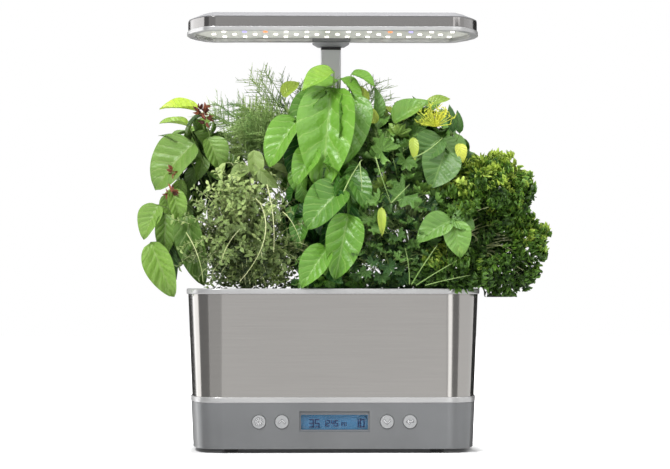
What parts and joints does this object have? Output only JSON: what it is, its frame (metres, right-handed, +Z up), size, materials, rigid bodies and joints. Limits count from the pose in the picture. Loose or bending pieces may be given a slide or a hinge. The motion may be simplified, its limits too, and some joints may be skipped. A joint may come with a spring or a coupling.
{
  "type": "countertop hydroponic herb garden",
  "caption": "Countertop herb garden: a steel-wrapped water bowl on a control base, a telescoping mast and a flat lamp over growing herbs.",
  "frame": {"origin": "on the table, under the middle of the base", "axes": "+Z up, along the mast; -Y towards the user; +X to the user's right"},
  "size_m": [0.3749, 0.1972, 0.3944],
  "materials": {
    "foot_rubber": "matt",
    "base_plastic": "satin grey moulding",
    "dark_plastic": "satin black moulding",
    "screw_steel": "plain",
    "bezel_grey": "satin",
    "window_glass": "clear",
    "screen_blue": "lit blue",
    "board_green": "solder mask",
    "button_plastic": "satin grey",
    "contact_brass": "bright",
    "mast_aluminium": "satin",
    "lamp_plastic": "satin silver",
    "wrap_steel": "brushed along its length",
    "trim_silver": "silver paint",
    "board_white": "white solder mask",
    "led_white": "phosphor",
    "led_red": "clear red",
    "led_blue": "clear blue",
    "filter_foam": "open foam",
    "float_plastic": "satin",
    "sponge_brown": "damp sponge",
    "collar_plastic": "satin",
    "leaf_bronze": "leaf",
    "leaf_dill": "leaf",
    "leaf_basil": "leaf",
    "leaf_thyme": "leaf",
    "leaf_mint": "leaf",
    "leaf_parsley": "leaf"
  },
  "bodies": {
    "base": {"foot_pads": "foot_rubber", "base_housing": "base_plastic", "base_bottom_plate": "dark_plastic", "base_screws": "screw_steel", "display_bezel": "bezel_grey", "display_window": "window_glass", "lcd_panel": "screen_blue", "control_board": "board_green", "tact_switches": "dark_plastic", "dc_jack": "dark_plastic", "base_contacts": "contact_brass", "mast_tower": "mast_aluminium", "tower_foot": "dark_plastic", "tower_screws": "screw_steel", "tower_bush": "dark_plastic", "detent_housing": "dark_plastic", "detent_plunger": "contact_brass", "detent_spring": "screw_steel"},
    "light_key": {"light_button": "button_plastic"},
    "up_key": {"up_button": "button_plastic"},
    "down_key": {"down_button": "button_plastic"},
    "select_key": {"select_button": "button_plastic"},
    "middle_mast": {"mid_mast": "mast_aluminium", "mid_mast_shoe": "dark_plastic", "mid_mast_bush": "dark_plastic"},
    "lamp": {"inner_mast": "mast_aluminium", "inner_mast_shoe": "dark_plastic", "lamp_bracket": "lamp_plastic", "bracket_screws": "screw_steel", "lamp_cover": "lamp_plastic", "lamp_band": "wrap_steel", "lamp_bezel": "trim_silver", "led_board": "board_white", "led_driver": "dark_plastic", "white_leds": "led_white", "red_leds": "led_red", "blue_leds": "led_blue"},
    "bowl": {"bowl_tank": "dark_plastic", "bowl_steel_wrap": "wrap_steel", "bowl_top_rim": "trim_silver", "bowl_bottom_trim": "trim_silver", "bowl_contacts": "contact_brass", "pump_housing": "dark_plastic", "pump_filter": "filter_foam", "pump_cover": "dark_plastic"},
    "impeller": {"pump_impeller": "button_plastic"},
    "deck": {"grow_deck": "dark_plastic", "pod_baskets": "dark_plastic", "grow_sponges": "sponge_brown", "pod_collars": "collar_plastic", "thai_basil": "leaf_bronze", "dill": "leaf_dill", "sweet_basil": "leaf_basil", "thyme": "leaf_thyme", "mint": "leaf_mint", "parsley": "leaf_parsley"},
    "gauge": {"gauge_float": "float_plastic"}
  },
  "joints": [
    {"name": "light_press", "type": "slide", "parent": "base", "child": "light_key", "axis": [0, 1, 0], "range_m": [0, 0.0008], "stiffness_N_per_m": 900, "springref_m": -0.0003},
    {"name": "up_press", "type": "slide", "parent": "base", "child": "up_key", "axis": [0, 1, 0], "range_m": [0, 0.0008], "stiffness_N_per_m": 900, "springref_m": -0.0003},
    {"name": "down_press", "type": "slide", "parent": "base", "child": "down_key", "axis": [0, 1, 0], "range_m": [0, 0.0008], "stiffness_N_per_m": 900, "springref_m": -0.0003},
    {"name": "select_press", "type": "slide", "parent": "base", "child": "select_key", "axis": [0, 1, 0], "range_m": [0, 0.0008], "stiffness_N_per_m": 900, "springref_m": -0.0003},
    {"name": "mast_lower", "type": "slide", "parent": "base", "child": "middle_mast", "axis": [0, 0, 1], "range_m": [-0.13, 0], "deforming": ["thai_basil", "dill", "sweet_basil", "thyme", "mint", "parsley"]},
    {"name": "mast_upper", "type": "slide", "parent": "middle_mast", "child": "lamp", "axis": [0, 0, 1], "range_m": [0, 0.045]},
    {"name": "bowl_lift", "type": "slide", "parent": "base", "child": "bowl", "axis": [0, 0, 1], "range_m": [0, 0.015]},
    {"name": "deck_lift", "type": "slide", "parent": "bowl", "child": "deck", "axis": [0, 0, 1], "range_m": [0, 0.015]},
    {"name": "gauge_rise", "type": "slide", "parent": "deck", "child": "gauge", "axis": [0, 0, 1], "range_m": [0, 0.04]},
    {"name": "impeller_spin", "type": "hinge", "parent": "bowl", "child": "impeller", "pos_m": [0.096, 0, 0.062], "axis": [0, 0, 1], "continuous": true}
  ]
}
